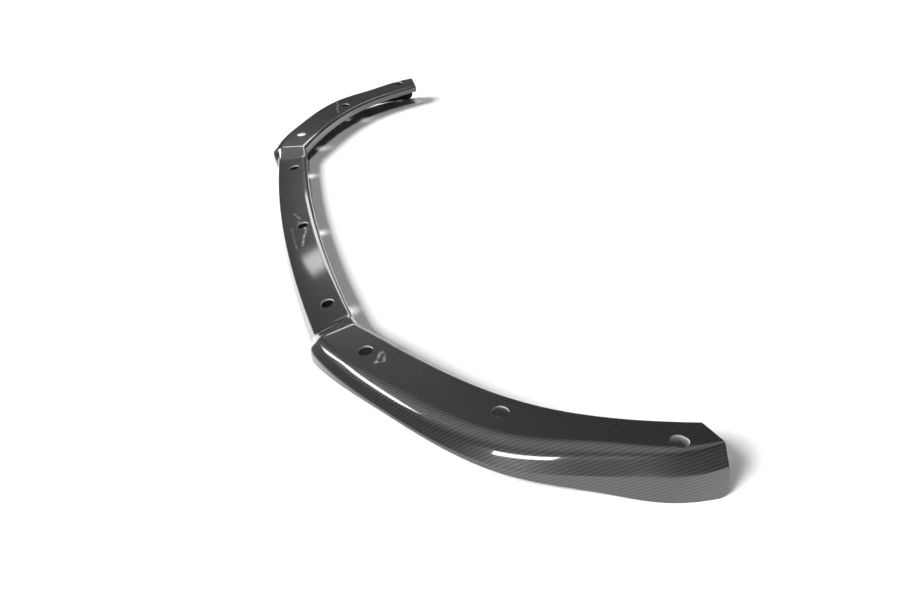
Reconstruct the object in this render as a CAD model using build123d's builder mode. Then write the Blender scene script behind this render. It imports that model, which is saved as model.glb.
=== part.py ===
# Front splitter lip, one moulded shell: a low centre bar, two raised wings, nine fixing holes.
# The lip lies on the floor as it rests: X to the rear, Y across the car, Z up, floor at Z 0.
# The sizes are measured from the middle hole, and the whole is moved to its centre at the end.
import os
from math import cos, hypot, radians, sin, tan
from build123d import *

# Laminate and fixing holes
skin = 3.0
least_bend = 1.0
hole_d = 24.0
hole_cut = 12.0

# Centre bar, plan: the arcs of its rear and front edges, the front one longer at each end
bar_half = 365.0
bar_skew = 22.0
bar_rear_mid, bar_rear_end = 32.0, 50.5
bar_front_mid, bar_front_end = -48.0, -27.0
# Centre bar, section: its top leans down to the front
bar_top = 30.0
bar_lean = 10.0
bar_overhang = 6.5
bar_band, bar_band_lean = 8.0, 1.5
bar_lip = 16.0
bar_roll = 10.0
bar_shoulder = 4.0

# Wing, plan: rear rail, as distances rearwards and out from the bar's end
root_rear_x, root_rear_out = 52.5, 36.5
mid_rear_x, mid_rear_out = 260.0, 312.0
tip_rear_x, tip_rear_out = 452.0, 412.5
root_rear_dir, tip_rear_dir = 60.0, 21.0
# Wing, plan: front rail, along the foot of the wall
root_front_x, root_front_out = -33.5, 59.0
corner_x, corner_out = -29.0, 83.5
run_x, run_out = 48.5, 228.0
bend_in_x, bend_in_out = 136.5, 346.5
bend_out_x, bend_out_out = 182.5, 386.0
flank_x, flank_out = 300.0, 443.0
heel_x, heel_out = 380.0, 478.0
tip_front_x, tip_front_out = 455.0, 490.5
root_front_dir, tip_front_dir = 96.0, 4.0

# Wing, section: values at the root, halfway and at the tip
flange_top = 62.8
flange_at_x = 250.0
flange_rise = 0.050
# It is canted more and more towards the tip: its inner edge lies lower, its outer edge higher
cant_in, cant_out = 9.0, 4.0
# At its root the flange dips and its corner is drawn in, which fades out along the wing
root_dip, root_draw, root_end = 3.5, 5.0, 0.16
overhang_root, overhang_mid, overhang_tip = 17.0, 17.0, 27.0
shoulder_root, shoulder_mid, shoulder_tip = 26.0, 32.0, 4.0
# The steep band above the foot: its top is level along the wing and climbs towards the tip
band_top, band_top_tip, band_climb = 31.0, 47.0, 7
band_slope_root, band_slope_tip = 6.0, 15.0
band_round = 10.0
foot_root, foot_mid = 13.0, 27.0
foot_down = 0.82
foot_ease = 7.5
lip_root, lip_tip = 24.0, 17.0
roll_root, roll_tip = 10.0, 6.0
heel_round = 18.0
# The tip's end is trimmed on a slant, this much further forward at the top
tip_slant = 7.0

# Fixing holes, plan: the bar's outer holes in from its end, the wing's out from it
hole_bar_x, hole_bar_in = 11.5, 56.0
hole_root_x, hole_root_out = 50.0, 118.0
hole_mid_x, hole_mid_out = 202.0, 310.0
hole_tip_x, hole_tip_out = 398.0, 438.0

# Where the sections are drawn, as shares of each run
bar_stations = (0, 0.5, 1)
step_stations = (0, 0.33, 0.67, 1)
wing_stations = (
    0, 0.025, 0.06, 0.12, 0.2, 0.3, 0.4, 0.47, 0.54, 0.62, 0.7, 0.77, 0.83, 0.89, 0.945, 1,
)


def between(start, end, u):
    return start + (end - start) * u


def through(start, mid, end, u):
    # A curve through three values: at the start, halfway and at the end.
    return start + (4 * mid - 3 * start - end) * u + 2 * (start - 2 * mid + end) * u * u


def outboard(x, out):
    return (x, bar_half + out)


def heading(angle):
    return (cos(radians(angle)), sin(radians(angle)))


def bar_z(x):
    return bar_top + x * tan(radians(bar_lean))


def root_fade(u):
    return max(0, 1 - u / root_end) ** 2


def flange_z(x):
    return flange_top + flange_rise * (x - flange_at_x)


def wing_z(x, u, side):
    # Side 0 is the flange's inner edge, side 1 its outer edge.
    return flange_z(x) + u * between(-cant_in, cant_out, side) - root_dip * root_fade(u)


def overhang(u):
    return through(overhang_root, overhang_mid, overhang_tip, u) + root_draw * root_fade(u)


def foot_z(u):
    # Lifted between the root and foot_down, and eased on to the floor after it.
    lift = through(foot_root, foot_mid, 0, u / foot_down)
    return (lift + hypot(lift, foot_ease)) / 2


def wing_band(u):
    # Its height above the foot, and how far it leans inwards.
    height = between(band_top, band_top_tip, u ** band_climb) - foot_z(u)
    return height, height * tan(radians(between(band_slope_root, band_slope_tip, u)))


def skin_points(corners):
    # The corners moved inwards by the skin, square to their neighbours.
    moved = []
    for i, (x, y) in enumerate(corners):
        sides = []
        for a, b in ((i - 1, i), (i, i + 1)):
            if a >= 0 and b < len(corners):
                dx, dy = corners[b][0] - corners[a][0], corners[b][1] - corners[a][1]
                sides.append((dy / hypot(dx, dy), -dx / hypot(dx, dy)))
        nx, ny = sum(s[0] for s in sides), sum(s[1] for s in sides)
        reach = skin * len(sides) / (nx * nx + ny * ny)
        moved.append((x + nx * reach, y + ny * reach))
    # The foot is cut level.
    (x, y), (foot_x, foot_y) = moved[-2], moved[-1]
    level = corners[-1][1]
    moved[-1] = (x + (foot_x - x) * (level - y) / (foot_y - y), level)
    return moved


def shell_section(rear, front, top, over, band, band_lean, foot, lip, roll, shoulder):
    # Lip, flange, shoulder, wall and foot band in one thin closed outline.
    out = (front - rear).normalized()
    width = (front - rear).length
    edge = front - out * over
    outer = [
        (0, top(rear.X, 0) - lip),
        (0, top(rear.X, 0)),
        (width - over, top(edge.X, 1)),
        (width - band_lean, foot + band),
        (width, foot),
    ]
    inner = skin_points(outer)
    bends = [roll, shoulder, band_round]
    inner_bends = [max(r - skin, least_bend) for r in bends]
    with BuildSketch(Plane(rear, x_dir=out, z_dir=out.cross(Vector(0, 0, 1)))) as section:
        with BuildLine():
            FilletPolyline(
                *outer, *reversed(inner), radius=[0, *bends, 0, 0, *reversed(inner_bends), 0], close=True
            )
        make_face()
    return section.sketch


def bar_section(u):
    return shell_section(
        bar_rear.edge() @ u, bar_front.edge() @ u, lambda x, side: bar_z(x), bar_overhang, bar_band,
        bar_band_lean, 0, bar_lip, bar_roll, bar_shoulder,
    )


def step_section(k):
    band_root, band_lean_root = wing_band(0)
    return shell_section(
        between(bar_rear.edge() @ 1, wing_rear.edge() @ 0, k),
        Vector(
            between(bar_front_end, root_front_x, k), bar_half + between(bar_skew, root_front_out, k),
        ),
        lambda x, side: between(bar_z(x), wing_z(x, 0, side), k),
        between(bar_overhang, overhang(0), k), between(bar_band, band_root, k),
        between(bar_band_lean, band_lean_root, k), foot_z(0) * k, between(bar_lip, lip_root, k),
        between(bar_roll, roll_root, k), between(bar_shoulder, shoulder_root, k),
    )


def wing_section(u):
    return shell_section(
        wing_rear.edge() @ u, wing_front.edge() @ u, lambda x, side: wing_z(x, u, side),
        overhang(u), *wing_band(u), foot_z(u),
        between(lip_root, lip_tip, u), between(roll_root, roll_tip, u),
        through(shoulder_root, shoulder_mid, shoulder_tip, u),
    )


with BuildLine() as bar_rear:
    ThreePointArc((bar_rear_end, -bar_half), (bar_rear_mid, 0), (bar_rear_end, bar_half))
with BuildLine() as bar_front:
    front_half = bar_half + bar_skew
    ThreePointArc((bar_front_end, -front_half), (bar_front_mid, 0), (bar_front_end, front_half))
with BuildLine() as wing_rear:
    Spline(
        outboard(root_rear_x, root_rear_out), outboard(mid_rear_x, mid_rear_out),
        outboard(tip_rear_x, tip_rear_out),
        tangents=(heading(root_rear_dir), heading(tip_rear_dir)),
    )
with BuildLine() as wing_front:
    Spline(
        outboard(root_front_x, root_front_out), outboard(corner_x, corner_out),
        outboard(run_x, run_out), outboard(bend_in_x, bend_in_out),
        outboard(bend_out_x, bend_out_out), outboard(flank_x, flank_out),
        outboard(heel_x, heel_out), outboard(tip_front_x, tip_front_out),
        tangents=(heading(root_front_dir), heading(tip_front_dir)),
    )

with BuildPart() as wing:
    loft([step_section(k) for k in step_stations])
    loft([wing_section(u) for u in wing_stations])
    # The lower rear corner of the tip is rounded off, and its end is trimmed.
    heel_corner = (*outboard(tip_front_x, tip_front_out), 0)
    tip_side = Plane(heel_corner, x_dir=(1, 0, 0), z_dir=(0, -1, 0))
    with BuildSketch(tip_side):
        Rectangle(2 * heel_round, 2 * heel_round)
        with Locations((-heel_round, heel_round)):
            Circle(heel_round, mode=Mode.SUBTRACT)
    extrude(amount=heel_round, both=True, mode=Mode.SUBTRACT)
    tip_top = wing_z(tip_front_x, 1, 1)
    with BuildSketch(tip_side):
        with BuildLine():
            Polyline((0, 0), (tip_slant, 0), (tip_slant, tip_top), (-tip_slant, tip_top), close=True)
        make_face()
    extrude(amount=tip_front_out - tip_rear_out + skin, both=True, mode=Mode.SUBTRACT)
    # The wing's three fixing holes.
    for x, out in ((hole_root_x, hole_root_out), (hole_mid_x, hole_mid_out), (hole_tip_x, hole_tip_out)):
        with BuildSketch(Plane((*outboard(x, out), flange_z(x)))):
            Circle(hole_d / 2)
        extrude(amount=hole_cut, both=True, mode=Mode.SUBTRACT)

with BuildPart() as bar:
    loft([bar_section(u) for u in bar_stations])
    # The bar's three fixing holes, square to its leaning top.
    lean = Vector(0, 0, 1).rotate(Axis.Y, -bar_lean)
    hole_bar_y = bar_half - hole_bar_in
    for x, y in ((0, 0), (hole_bar_x, hole_bar_y), (hole_bar_x, -hole_bar_y)):
        with BuildSketch(Plane((x, y, bar_z(x)), z_dir=lean)):
            Circle(hole_d / 2)
        extrude(amount=hole_cut, both=True, mode=Mode.SUBTRACT)

with BuildPart() as splitter_lip:
    centre_x = (bar_front_mid + tip_front_x) / 2
    with Locations((-centre_x, 0, 0)):
        add(bar.part)
        add(wing.part)
        add(mirror(wing.part, about=Plane.XZ, mode=Mode.PRIVATE))

os.makedirs("parts", exist_ok=True)
splitter_lip.part.label = "splitter_lip"
export_step(splitter_lip.part, "parts/splitter_lip.step")
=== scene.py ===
"""Front splitter lip in clear-coated twill carbon, lying on a white studio floor."""

from math import asin, cos, hypot, pi, radians, sin, sqrt, tan

import bmesh
import bpy
import numpy as np
from mathutils import Matrix, Vector


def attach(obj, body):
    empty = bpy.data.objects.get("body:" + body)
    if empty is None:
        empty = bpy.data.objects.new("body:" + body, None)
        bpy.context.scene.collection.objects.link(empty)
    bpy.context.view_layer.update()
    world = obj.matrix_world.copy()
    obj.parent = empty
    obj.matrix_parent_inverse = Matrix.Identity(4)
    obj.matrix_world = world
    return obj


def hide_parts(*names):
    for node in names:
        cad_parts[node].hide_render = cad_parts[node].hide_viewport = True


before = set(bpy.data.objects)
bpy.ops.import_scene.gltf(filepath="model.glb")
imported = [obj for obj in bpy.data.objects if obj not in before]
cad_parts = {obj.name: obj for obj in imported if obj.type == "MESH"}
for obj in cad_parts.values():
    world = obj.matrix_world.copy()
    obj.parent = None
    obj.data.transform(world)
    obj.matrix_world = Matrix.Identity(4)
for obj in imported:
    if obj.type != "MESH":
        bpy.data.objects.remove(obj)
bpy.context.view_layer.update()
scene = bpy.context.scene
scene.view_settings.view_transform = "Standard"
mm = 0.001

# Laminate and holes, as in the part's source
skin = 3.0 * mm
least_bend = 1.0 * mm
hole_r = 12.0 * mm
rim_round = 0.8 * mm

# Centre bar
bar_half, bar_skew = 365.0 * mm, 22.0 * mm
bar_rear_mid, bar_rear_end = 32.0 * mm, 50.5 * mm
bar_front_mid, bar_front_end = -48.0 * mm, -27.0 * mm
bar_top, bar_lean = 30.0 * mm, 10.0
bar_overhang, bar_band, bar_band_lean = 6.5 * mm, 8.0 * mm, 1.5 * mm
bar_lip, bar_roll, bar_shoulder = 16.0 * mm, 10.0 * mm, 4.0 * mm

# Wing in plan: its rear and front lines, rearwards of the middle hole and outwards from the bar's end
wing_rear_points = ((52.5, 36.5), (260.0, 312.0), (452.0, 412.5))
wing_rear_dirs = (60.0, 21.0)
wing_front_points = (
    (-33.5, 59.0), (-29.0, 83.5), (48.5, 228.0), (136.5, 346.5),
    (182.5, 386.0), (300.0, 443.0), (380.0, 478.0), (455.0, 490.5),
)
wing_front_dirs = (96.0, 4.0)

# Wing in section: at its root, halfway and at its tip
flange_top, flange_at_x, flange_rise = 62.8 * mm, 250.0 * mm, 0.05
cant_in, cant_out = 9.0 * mm, 4.0 * mm
root_dip, root_draw, root_end = 3.5 * mm, 5.0 * mm, 0.16
overhang = (17.0 * mm, 18.0 * mm, 29.5 * mm)
shoulder = (26.0 * mm, 32.0 * mm, 4.0 * mm)
band_top, band_top_tip, band_climb = 31.0 * mm, 47.0 * mm, 7
band_slope = (6.0, 15.0)
band_round = 10.0 * mm
foot_root, foot_mid, foot_down, foot_ease = 13.0 * mm, 27.0 * mm, 0.82, 7.5 * mm
lip_depth = (24.0 * mm, 17.0 * mm)
roll = (10.0 * mm, 6.0 * mm)
heel_round = 18.0 * mm
tip_slant = 7.0 * mm

# Holes, rearwards of the middle hole and outwards from the bar's end
bar_hole_x, bar_hole_in = 11.5 * mm, 56.0 * mm
wing_holes = ((50.0, 118.0), (202.0, 310.0), (398.0, 438.0))

# How finely the surface is drawn, and the angle in degrees from which an edge is sharp
line_samples = 600
bar_steps, step_steps, wing_steps, heel_steps = 36, 16, 110, 10
run_steps = (3, 16, 8, 5)
bend_steps = (8, 18, 8)
hole_segments, rim_segments = 64, 6
weld = 0.01 * mm
sharp_from = 33.0

# The frame's origin lies in the middle of the lip's box
centre_x = (bar_front_mid + wing_front_points[-1][0] * mm) / 2


def between(start, end, u):
    return start + (end - start) * u


def through(values, u):
    """A curve through three values: at the start, halfway and at the end."""
    start, mid, end = values
    return start + (4 * mid - 3 * start - end) * u + 2 * (start - 2 * mid + end) * u * u


def heading(angle):
    return np.array((cos(radians(angle)), sin(radians(angle))))


class SmoothLine:
    """A smooth line through points given in millimetres from the bar's end, with headings at its ends."""

    def __init__(self, points, dirs):
        p = np.array([(x * mm, bar_half + out * mm) for x, out in points])
        d = np.linalg.norm(np.diff(p, axis=0), axis=1)
        n = len(p)
        rows, sums = np.eye(n), np.zeros((n, 2))
        sums[0], sums[-1] = heading(dirs[0]), heading(dirs[1])
        for i in range(1, n - 1):
            rows[i, i - 1:i + 2] = 1 / d[i - 1], 2 / d[i - 1] + 2 / d[i], 1 / d[i]
            sums[i] = 3 * ((p[i] - p[i - 1]) / d[i - 1] ** 2 + (p[i + 1] - p[i]) / d[i] ** 2)
        m = np.linalg.solve(rows, sums)
        t = np.concatenate(([0], np.cumsum(d)))
        at = np.linspace(0, t[-1], line_samples)
        s = np.clip(np.searchsorted(t, at, side="right") - 1, 0, n - 2)
        k, h = ((at - t[s]) / d[s])[:, None], d[s][:, None]
        self.points = (
            p[s] * (1 + 2 * k) * (1 - k) ** 2 + m[s] * h * k * (1 - k) ** 2
            + p[s + 1] * k * k * (3 - 2 * k) + m[s + 1] * h * k * k * (k - 1)
        )
        steps = np.linalg.norm(np.diff(self.points, axis=0), axis=1)
        self.share = np.concatenate(([0], np.cumsum(steps))) / steps.sum()
        self.length = steps.sum()

    def at(self, u):
        return np.array([np.interp(u, self.share, self.points[:, i]) for i in (0, 1)])


wing_rear = SmoothLine(wing_rear_points, wing_rear_dirs)
wing_front = SmoothLine(wing_front_points, wing_front_dirs)


def bar_line(mid, end, half, k):
    """A point on one of the bar's plan arcs, from its middle (0) to its end (1)."""
    rise = end - mid
    radius = (half ** 2 + rise ** 2) / (2 * rise)
    angle = asin(half / radius) * k
    return np.array((mid + radius * (1 - cos(angle)), radius * sin(angle)))


def bar_z(x):
    return bar_top + x * tan(radians(bar_lean))


def root_fade(u):
    return max(0, 1 - u / root_end) ** 2


def flange_z(x):
    return flange_top + flange_rise * (x - flange_at_x)


def wing_z(x, u, side):
    """The flange's height at its inner edge (side 0) or its outer edge (side 1)."""
    return flange_z(x) + u * between(-cant_in, cant_out, side) - root_dip * root_fade(u)


def wing_overhang(u):
    return through(overhang, u) + root_draw * root_fade(u)


def foot_z(u):
    lift = through((foot_root, foot_mid, 0), u / foot_down)
    return (lift + hypot(lift, foot_ease)) / 2


def wing_band(u):
    """Height of the steep band above the wing's foot, and how far it leans."""
    height = between(band_top, band_top_tip, u ** band_climb) - foot_z(u)
    return height, height * tan(radians(between(*band_slope, u)))


def rounded(corners, bends):
    """Points along a line of corners with its bends rounded, as many for every section."""
    runs, arcs, start = [], [], corners[0]
    for i, radius in enumerate(bends, 1):
        to_last = (corners[i - 1] - corners[i]) / np.linalg.norm(corners[i - 1] - corners[i])
        to_next = (corners[i + 1] - corners[i]) / np.linalg.norm(corners[i + 1] - corners[i])
        half = np.arccos(np.clip(to_last @ to_next, -1, 1)) / 2
        cut = radius / np.tan(half)
        middle = to_last + to_next
        centre = corners[i] + middle / np.linalg.norm(middle) * radius / np.sin(half)
        first, last = corners[i] + to_last * cut - centre, corners[i] + to_next * cut - centre
        runs.append((start, centre + first))
        turn = pi - 2 * half
        k = np.linspace(0, 1, bend_steps[i - 1] + 1)[1:-1, None]
        arcs.append(centre + (np.sin((1 - k) * turn) * first + np.sin(k * turn) * last) / np.sin(turn))
        start = centre + last
    runs.append((start, corners[-1]))
    points = []
    for i, (a, b) in enumerate(runs):
        k = np.linspace(0, 1, run_steps[i] + 1)[:, None]
        points.append(a + (b - a) * k)
        if i < len(arcs):
            points.append(arcs[i])
    return np.concatenate(points)


def inner_corners(corners):
    """The corners moved inwards by the skin, with the foot cut level."""
    sides = np.diff(corners, axis=0)
    normals = np.stack((sides[:, 1], -sides[:, 0]), axis=1) / np.linalg.norm(sides, axis=1)[:, None]
    sums = np.concatenate((normals[:1] * 2, normals[:-1] + normals[1:], normals[-1:] * 2))
    moved = corners + sums * (2 * skin / (sums * sums).sum(axis=1))[:, None]
    level = (corners[-1][1] - moved[-2][1]) / (moved[-1][1] - moved[-2][1])
    moved[-1] = moved[-2] + (moved[-1] - moved[-2]) * level
    return moved


def ring(rear, front, top, over, band_up, lean, foot, lip, bends, heel=0.0):
    """One section of the shell: its places, outer side first, and where each lies on the laid cloth."""
    width = np.linalg.norm(front - rear)
    out = (front - rear) / width
    edge = front - out * over
    corners = np.array((
        (0, top(rear[0], 0) - lip), (0, top(rear[0], 0)), (width - over, top(edge[0], 1)),
        (width - lean, foot + band_up), (width, foot),
    ))
    corners[4] += (corners[3] - corners[4]) * max(0, heel - foot) / band_up
    outer = rounded(corners, bends)
    inner = rounded(inner_corners(corners), [max(r - skin, least_bend) for r in bends])
    steps = np.linalg.norm(np.diff(outer, axis=0), axis=1)
    along = np.concatenate(([0], np.cumsum(steps))) - lip
    line = np.concatenate((outer, inner[::-1]))
    places = [(rear[0] + out[0] * d - centre_x, rear[1] + out[1] * d, z) for d, z in line]
    cloth = [rear + out * d for d in np.concatenate((along, along[::-1]))]
    return places, cloth


def bar_ring(k):
    return ring(
        bar_line(bar_rear_mid, bar_rear_end, bar_half, k),
        bar_line(bar_front_mid, bar_front_end, bar_half + bar_skew, k), lambda x, side: bar_z(x),
        bar_overhang, bar_band, bar_band_lean, 0, bar_lip, (bar_roll, bar_shoulder, band_round),
    )


def step_ring(k):
    return ring(
        between(bar_line(bar_rear_mid, bar_rear_end, bar_half, 1), wing_rear.at(0), k),
        between(np.array((bar_front_end, bar_half + bar_skew)), wing_front.at(0), k),
        lambda x, side: between(bar_z(x), wing_z(x, 0, side), k),
        between(bar_overhang, wing_overhang(0), k), between(bar_band, wing_band(0)[0], k),
        between(bar_band_lean, wing_band(0)[1], k), foot_z(0) * k, between(bar_lip, lip_depth[0], k),
        (between(bar_roll, roll[0], k), between(bar_shoulder, shoulder[0], k), band_round),
    )


def wing_ring(u):
    from_end = min((1 - u) * wing_front.length, heel_round)
    heel = heel_round - sqrt(heel_round ** 2 - (heel_round - from_end) ** 2)
    return ring(
        wing_rear.at(u), wing_front.at(u), lambda x, side: wing_z(x, u, side),
        wing_overhang(u), *wing_band(u), foot_z(u), between(*lip_depth, u),
        (between(*roll, u), through(shoulder, u), band_round), heel,
    )


def shell_rings():
    """The sections from the middle of the bar to the tip of the wing."""
    heel_start = 1 - heel_round / wing_front.length
    rings = [bar_ring(i / bar_steps) for i in range(bar_steps + 1)]
    rings += [step_ring(i / step_steps) for i in range(1, step_steps + 1)]
    rings += [wing_ring(heel_start * i / wing_steps) for i in range(1, wing_steps + 1)]
    rings += [wing_ring(1 - (1 - heel_start) * (1 - i / heel_steps) ** 2) for i in range(1, heel_steps + 1)]
    return rings


def make_object(name, bm, materials):
    mesh = bpy.data.meshes.new(name)
    bm.to_mesh(mesh)
    bm.free()
    for material in materials:
        mesh.materials.append(material)
    obj = bpy.data.objects.new(name, mesh)
    scene.collection.objects.link(obj)
    return obj


def trim_tip(bm, cloth_uv):
    """The tip is cut off on a slant, further forward at the top, and closed."""
    tip_x = wing_front_points[-1][0] * mm
    cut = bmesh.ops.bisect_plane(
        bm, geom=bm.verts[:] + bm.edges[:] + bm.faces[:], dist=weld / 10, plane_co=(tip_x - centre_x, 0, 0),
        plane_no=Vector((wing_z(tip_x, 1, 1), 0, tip_slant)).normalized(), clear_outer=True,
    )
    rim = [e for e in cut["geom_cut"] if isinstance(e, bmesh.types.BMEdge)]
    for face in bmesh.ops.edgeloop_fill(bm, edges=rim)["faces"]:
        for loop in face.loops:
            beside = next(other for other in loop.vert.link_loops if other.face != face)
            loop[cloth_uv].uv = beside[cloth_uv].uv


def build_shell(materials):
    """Half of the lip is drawn out section by section, trimmed at its tip and mirrored."""
    bm = bmesh.new()
    cloth_uv = bm.loops.layers.uv.new("cloth")
    rings = shell_rings()
    count = len(rings[0][0])
    verts = [bm.verts.new(place) for place in rings[0][0]]
    edges = [bm.edges.new((verts[i], verts[(i + 1) % count])) for i in range(count)]
    laid = dict(zip(verts, rings[0][1]))
    for places, cloth in rings[1:]:
        made = bmesh.ops.extrude_edge_only(bm, edges=edges)["geom"]
        bridge = {}
        new_verts = {v for v in made if isinstance(v, bmesh.types.BMVert)}
        for v in verts:
            bridge[v] = next(e.other_vert(v) for e in v.link_edges if e.other_vert(v) in new_verts)
        verts = [bridge[v] for v in verts]
        for v, place, spot in zip(verts, places, cloth):
            v.co = place
            laid[v] = spot
        edges = [bm.edges.get((verts[i], verts[(i + 1) % count])) for i in range(count)]
    order = {v: i for i, v in enumerate(laid)}
    for face in bm.faces:
        ranks = [order[v] % count for v in face.verts]
        face.material_index = int(min(ranks) >= count / 2)
        for loop in face.loops:
            loop[cloth_uv].uv = laid[loop.vert]
    trim_tip(bm, cloth_uv)
    bmesh.ops.mirror(bm, geom=bm.verts[:] + bm.edges[:] + bm.faces[:], axis="Y", merge_dist=weld)
    bmesh.ops.recalc_face_normals(bm, faces=bm.faces[:])
    for face in bm.faces:
        face.smooth = True
        if face.calc_center_median().y < 0:
            for loop in face.loops:
                loop[cloth_uv].uv.y *= -1
    return make_object("lip_shell", bm, materials)


def hole_frames():
    """Where each hole is, and the way that its surface faces there."""
    bar_up = Vector((-sin(radians(bar_lean)), 0, cos(radians(bar_lean))))
    wing_up = Vector((-flange_rise, 0, 1)).normalized()
    spots = [(0, 0, bar_z(0), bar_up)]
    for side in (-1, 1):
        spots.append((bar_hole_x, side * (bar_half - bar_hole_in), bar_z(bar_hole_x), bar_up))
        for x, out in wing_holes:
            spots.append((x * mm, side * (bar_half + out * mm), flange_z(x * mm), wing_up))
    return [(Vector((x - centre_x, y, z)), up) for x, y, z, up in spots]


def build_hole_cutter(material):
    """A turned plug for each hole, flared at the top so that the rim comes out rounded."""
    reach = 4 * skin
    flare = [pi / 2 * i / rim_segments for i in range(rim_segments)]
    profile = [(0, -reach), (hole_r, -reach)]
    profile += [(hole_r + rim_round * (1 - cos(a)), rim_round * (sin(a) - 1)) for a in flare]
    profile += [(hole_r + rim_round, rim_round), (hole_r + rim_round, reach), (0, reach)]
    bm = bmesh.new()
    for place, up in hole_frames():
        turn = Matrix.Translation(place) @ up.to_track_quat("Z", "Y").to_matrix().to_4x4()
        verts = [bm.verts.new(turn @ Vector((r, 0, z))) for r, z in profile]
        edges = [bm.edges.new(pair) for pair in zip(verts, verts[1:])]
        bmesh.ops.spin(
            bm, geom=verts + edges, cent=place, axis=up, angle=2 * pi, steps=hole_segments, use_merge=True,
        )
    bmesh.ops.remove_doubles(bm, verts=bm.verts[:], dist=weld)
    bmesh.ops.recalc_face_normals(bm, faces=bm.faces[:])
    for face in bm.faces:
        face.smooth = True
    return make_object("hole_cutter", bm, [material])


def drill(obj, cutter):
    """Cuts the plugs out of the shell and keeps the result as its mesh."""
    cut = obj.modifiers.new("holes", "BOOLEAN")
    cut.operation, cut.solver, cut.material_mode, cut.object = "DIFFERENCE", "EXACT", "TRANSFER", cutter
    bpy.context.view_layer.update()
    graph = bpy.context.evaluated_depsgraph_get()
    mesh = bpy.data.meshes.new_from_object(obj.evaluated_get(graph), depsgraph=graph)
    obj.modifiers.clear()
    obj.data = mesh
    bpy.data.objects.remove(cutter)
    mesh.set_sharp_from_angle(angle=radians(sharp_from))


class Value:
    """A shader value: the operators of Python on it add Math nodes."""

    def __init__(self, shader, socket):
        self.shader, self.socket = shader, socket

    def math(self, operation, *others):
        values = {i: v for i, v in enumerate((self, *others))}
        return self.shader.value("ShaderNodeMath", {"operation": operation}, values)

    def swapped(self, operation, other):
        return self.shader.value("ShaderNodeMath", {"operation": operation}, {0: other, 1: self})

    def __add__(self, other):
        return self.math("ADD", other)

    def __sub__(self, other):
        return self.math("SUBTRACT", other)

    def __mul__(self, other):
        return self.math("MULTIPLY", other)

    def __truediv__(self, other):
        return self.math("DIVIDE", other)

    def __mod__(self, other):
        return self.math("FLOORED_MODULO", other)

    def __lt__(self, other):
        return self.math("LESS_THAN", other)

    def __gt__(self, other):
        return self.math("GREATER_THAN", other)

    def __radd__(self, other):
        return self.math("ADD", other)

    def __rsub__(self, other):
        return self.swapped("SUBTRACT", other)

    def __rmul__(self, other):
        return self.math("MULTIPLY", other)

    def __rtruediv__(self, other):
        return self.swapped("DIVIDE", other)

    def __rmod__(self, other):
        return self.swapped("FLOORED_MODULO", other)


class Shader:
    """A node tree that is written as expressions."""

    def __init__(self, tree):
        self.tree = tree
        tree.nodes.clear()

    def node(self, kind, settings=None, sockets=None):
        made = self.tree.nodes.new(kind)
        for name, setting in (settings or {}).items():
            if name == "stops":
                self.set_stops(made.color_ramp.elements, setting)
            else:
                setattr(made, name, setting)
        for name, given in (sockets or {}).items():
            if isinstance(given, Value):
                given = given.socket
            if isinstance(given, bpy.types.NodeSocket):
                self.tree.links.new(given, made.inputs[name])
            else:
                made.inputs[name].default_value = given
        return made

    def set_stops(self, elements, stops):
        while len(elements) < len(stops):
            elements.new(0.5)
        for element, (place, tone) in zip(elements, stops):
            element.position = place
            element.color = (tone, tone, tone, 1)

    def value(self, kind, settings=None, sockets=None):
        return Value(self, self.node(kind, settings, sockets).outputs[0])


def new_material(name):
    material = bpy.data.materials.new(name)
    material.use_nodes = True
    return material, Shader(material.node_tree)


# Twill cloth: tows laid at 45 degrees to the car, so that its ridges run along it. Its colour holds painted
# sheen along the middle of each float and painted shade at the floats' ends and edges, and the weft is
# painted darker than the warp for how it reflects
tow = 1.8 * mm
tow_painted_sheen, tow_black_and_painted_shade = (0.060, 0.060, 0.062, 1), (0.003, 0.003, 0.004, 1)
weft_painted_sheen_share = 0.35
weave_height, weave_relief = 0.12 * mm, 0.5
float_end = 0.8

# Clear coat on the outside, bare laminate inside, and the dull edge that drilling leaves
carbon_metallic = 0.5
outside_rough, inside_rough = 0.38, 0.5
coat_rough, coat_ior = 0.06, 1.6
cut_tone, cut_rough = (0.35, 0.35, 0.36, 1), 0.6

# Pale scuffs in the coat, the last of them a painted reflection beside the near wing's first hole:
# strength, and a line in millimetres, rearwards of the middle hole and across
scuffs_and_painted_reflection = (
    (0.9, ((2.8, -11.8), (5.4, -27.3), (-2.8, -53.3), (-8.7, -84.2))),
    (0.5, ((-13.5, 63.6), (-5.3, 42.2), (-2.3, 29.1), (-6.4, 16.4))),
    (0.3, ((-23.3, -2.5), (-23.5, -47.5), (-21.3, -93.0))),
    (0.5, ((181.0, 707.2), (181.2, 675.6), (173.8, 652.0), (173.0, 616.6))),
    # Painted reflection, not a scuff: a pale crescent beside the near wing's first hole
    (0.6, ((58.2, -515.9), (71.3, -516.4), (76.2, -505.7), (73.4, -494.9), (68.5, -499.6), (62.3, -511.1))),
)
coat_mark_width = 3.5
coat_mark_grain, coat_mark_detail = 160.0, 2.0
coat_mark_contrast, coat_mark_gaps = 4.0, 1.4
scuff_and_reflection_tone = (0.60, 0.60, 0.61, 1)


def twill(shader):
    """Two sets of tows, each over two and under two: the height of the floats and which set is on top."""
    cloth = shader.node("ShaderNodeUVMap", {"uv_map": "cloth"}).outputs[0]
    split = shader.node("ShaderNodeSeparateXYZ", sockets={0: cloth})
    x, y = (Value(shader, split.outputs[i]) for i in (0, 1))
    pitch = tow * sqrt(2)
    warp, weft = (x + y) / pitch, (x - y) / pitch
    row, column = warp.math("FLOOR"), weft.math("FLOOR")
    on_top = (row - column) % 4 < 2
    floats = []
    for tow_place, along in ((warp, (weft - row + 1) % 4 - 1), (weft, (warp - column - 2) % 4 - 1)):
        across = tow_place.math("FRACT") * 2 - 1
        floats.append((1 - across * across) * (1 - float_end * along * along))
    return on_top * floats[0] + (1 - on_top) * floats[1], on_top


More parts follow.
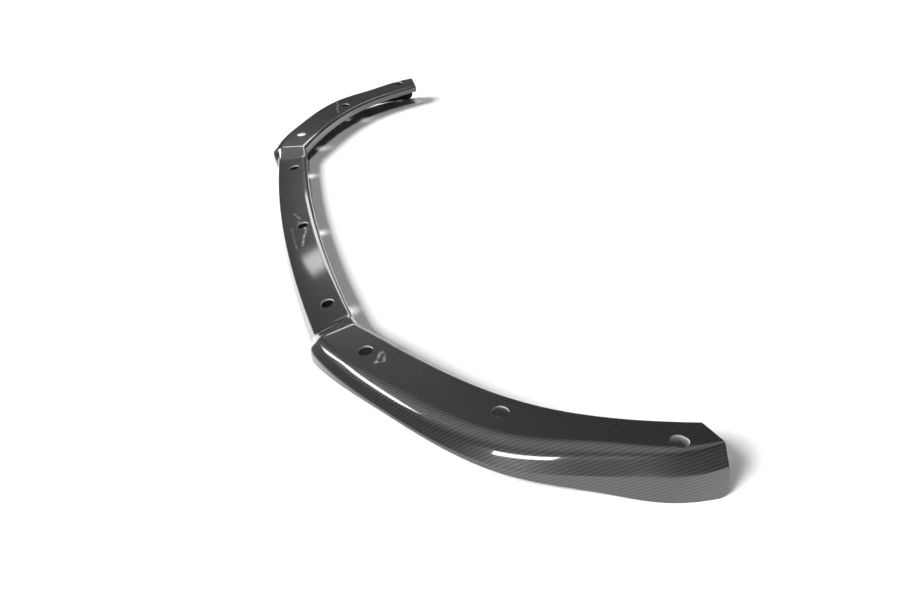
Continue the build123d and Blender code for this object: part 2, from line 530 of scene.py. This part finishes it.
def line_distance(x, y, points):
    """The distance of each place from a line of points."""
    nearest = None
    for (ax, ay), (bx, by) in zip(points, points[1:]):
        length = hypot(bx - ax, by - ay)
        ux, uy = (bx - ax) / length, (by - ay) / length
        along = ((x - ax) * ux + (y - ay) * uy).math("MAXIMUM", 0).math("MINIMUM", length)
        dx, dy = x - ax - along * ux, y - ay - along * uy
        distance = (dx * dx + dy * dy).math("SQRT")
        nearest = nearest.math("MINIMUM", distance) if nearest else distance
    return nearest


def scuff_and_reflection_mask(shader):
    """How scuffed the clear coat is, with one painted reflection among the scuffs, broken up by a grain."""
    place = shader.node("ShaderNodeTexCoord").outputs["Object"]
    split = shader.node("ShaderNodeSeparateXYZ", sockets={0: place})
    x, y = (Value(shader, split.outputs[0]) + centre_x) / mm, Value(shader, split.outputs[1]) / mm
    marks = 0
    for strength, points in scuffs_and_painted_reflection:
        marks += (1 - line_distance(x, y, points) / coat_mark_width).math("MAXIMUM", 0) * strength
    grain = shader.value("ShaderNodeTexNoise", sockets={
        "Vector": place, "Scale": coat_mark_grain, "Detail": coat_mark_detail,
    })
    return (marks * (grain * coat_mark_contrast - coat_mark_gaps)).math("MAXIMUM", 0).math("MINIMUM", 1)


def carbon(name, coat, rough):
    """Woven carbon with painted sheen along its floats and painted shade between them, scuffed where it has
    a clear coat, with one painted reflection among the scuffs.
    """
    material, shader = new_material(name)
    height, on_top = twill(shader)
    # Painted sheen and shade: lightest along the middle of each float, darkest at its ends and edges, the
    # weft painted darker than the warp
    tone = height * (on_top * (1 - weft_painted_sheen_share) + weft_painted_sheen_share)
    colour = shader.node(
        "ShaderNodeMix", {"data_type": "RGBA"}, {0: tone, 6: tow_black_and_painted_shade, 7: tow_painted_sheen},
    ).outputs[2]
    if coat:
        # Pale scuffs, and a painted reflection beside the near wing's first hole, mixed into the coated
        # colour
        colour = shader.node(
            "ShaderNodeMix", {"data_type": "RGBA"}, {0: scuff_and_reflection_mask(shader), 6: colour, 7: scuff_and_reflection_tone},
        ).outputs[2]
    bump = shader.node("ShaderNodeBump", sockets={
        "Strength": weave_relief, "Distance": weave_height, "Height": height,
    })
    surface = shader.node("ShaderNodeBsdfPrincipled", sockets={
        "Base Color": colour, "Metallic": carbon_metallic, "Roughness": rough, "Normal": bump.outputs[0],
        "Coat Weight": coat, "Coat Roughness": coat_rough, "Coat IOR": coat_ior,
    })
    shader.node("ShaderNodeOutputMaterial", sockets={"Surface": surface.outputs[0]})
    return material


def cut_laminate():
    material, shader = new_material("cut_laminate")
    surface = shader.node("ShaderNodeBsdfPrincipled", sockets={
        "Base Color": cut_tone, "Roughness": cut_rough,
    })
    shader.node("ShaderNodeOutputMaterial", sockets={"Surface": surface.outputs[0]})
    return material


# Studio: a white floor, a dark room with soft lamps to be mirrored, and two lights for what is matt
floor_size = 14.0
floor_tone, floor_mirrored = 0.8, 0.30
room_light = 0.05
room_stops = ((0.0, 0.04), (0.40, 0.05), (0.68, 0.18), (0.97, 1.2))

# Lamps that the gloss mirrors: azimuth and height, width and depth in degrees, and strength
lamp_target, lamp_distance = (-0.1, -0.6, 0.05), 25.0
mirrored_lamps = {
    "left_softbox": ((153, 43), (24, 7.5), 18.0),
    "left_panel": ((138.5, 34), (7, 18), 18.0),
    "front_softbox": ((-125, 18.3), (30, 17), 18.0),
    "rear_lamp": ((99, 29.2), (3.0, 1.8), 5.0),
}
# A panel close behind the bar, which only the rolled edges and the steps mirror
panel_target, panel_distance = (-0.16, -0.1, 0.035), 1.2
rear_panel = (78, 28), (34, 14), 5.0
# Lights for what is matt, far off so that the floor is lit evenly
matt_distance = 80.0
matt_lights = {
    "bounced_light": ((192, 39), (22, 20), 46.0),
    "fill_light": ((262, 58), (8, 8), 52.0),
}


def build_floor():
    """A matt white floor, brighter where the gloss mirrors it."""
    material, shader = new_material("white_floor")
    rays = shader.node("ShaderNodeLightPath")
    tone = floor_tone + Value(shader, rays.outputs["Is Glossy Ray"]) * floor_mirrored
    matt = shader.node("ShaderNodeBsdfDiffuse", sockets={"Color": tone})
    shader.node("ShaderNodeOutputMaterial", sockets={"Surface": matt.outputs[0]})
    bm = bmesh.new()
    bmesh.ops.create_grid(bm, x_segments=1, y_segments=1, size=floor_size / 2)
    make_object("floor", bm, [material])


def build_world():
    """Weak even light on what is matt, and a dark room with a pale ceiling for the gloss to mirror."""
    world = bpy.data.worlds.new("studio")
    world.use_nodes = True
    scene.world = world
    shader = Shader(world.node_tree)
    way = shader.node("ShaderNodeTexCoord").outputs["Generated"]
    up = shader.node("ShaderNodeSeparateXYZ", sockets={0: way}).outputs[2]
    ramp = shader.node("ShaderNodeValToRGB", {"stops": room_stops}, {0: up})
    rays = shader.node("ShaderNodeLightPath")
    plain = Value(shader, rays.outputs["Is Camera Ray"]) * (1 - room_light) + room_light
    tone = shader.node(
        "ShaderNodeMix", {"data_type": "RGBA"},
        {0: rays.outputs["Is Glossy Ray"], 6: plain, 7: ramp.outputs[0]},
    ).outputs[2]
    sky = shader.node("ShaderNodeBackground", sockets={"Color": tone, "Strength": 1.0})
    shader.node("ShaderNodeOutputWorld", sockets={"Surface": sky.outputs[0]})


def add_lamp(name, towards, angles, strength, target, distance, mirrored):
    """A lamp seen in a direction from a place, either mirrored in the gloss or lighting what is matt."""
    azimuth, height = (radians(a) for a in towards)
    way = Vector((cos(azimuth) * cos(height), sin(azimuth) * cos(height), sin(height)))
    size = [2 * distance * tan(radians(a) / 2) for a in angles]
    light = bpy.data.lights.new(name, "AREA")
    light.shape, light.size, light.size_y = "RECTANGLE", *size
    light.energy = strength * pi * size[0] * size[1]
    lamp = bpy.data.objects.new(name, light)
    lamp.location = Vector(target) + way * distance
    lamp.rotation_euler = way.to_track_quat("Z", "Y").to_euler()
    lamp.visible_camera, lamp.visible_glossy, lamp.visible_diffuse = False, mirrored, not mirrored
    scene.collection.objects.link(lamp)


# Camera, at the photograph's viewing angle
camera_place = (-0.0338 - centre_x, -1.2386, 0.6799)
camera_yaw, camera_pitch = 17.47, 36.04
camera_lens, sensor_width = 24.43, 36.0


def add_camera():
    data = bpy.data.cameras.new("camera")
    data.lens, data.sensor_width = camera_lens, sensor_width
    camera = bpy.data.objects.new("camera", data)
    camera.location = camera_place
    camera.rotation_euler = (radians(90 - camera_pitch), 0, radians(-camera_yaw))
    scene.collection.objects.link(camera)
    scene.camera = camera


outside = carbon("clear_coated_carbon", 1.0, outside_rough)
inside = carbon("bare_carbon", 0.0, inside_rough)
lip = build_shell([outside, inside])
drill(lip, build_hole_cutter(cut_laminate()))
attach(lip, "root")
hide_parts("splitter_lip")

build_floor()
build_world()
for name, lamp in mirrored_lamps.items():
    add_lamp(name, *lamp, lamp_target, lamp_distance, True)
add_lamp("rear_panel", *rear_panel, panel_target, panel_distance, True)
for name, lamp in matt_lights.items():
    add_lamp(name, *lamp, lamp_target, matt_distance, False)
add_camera()
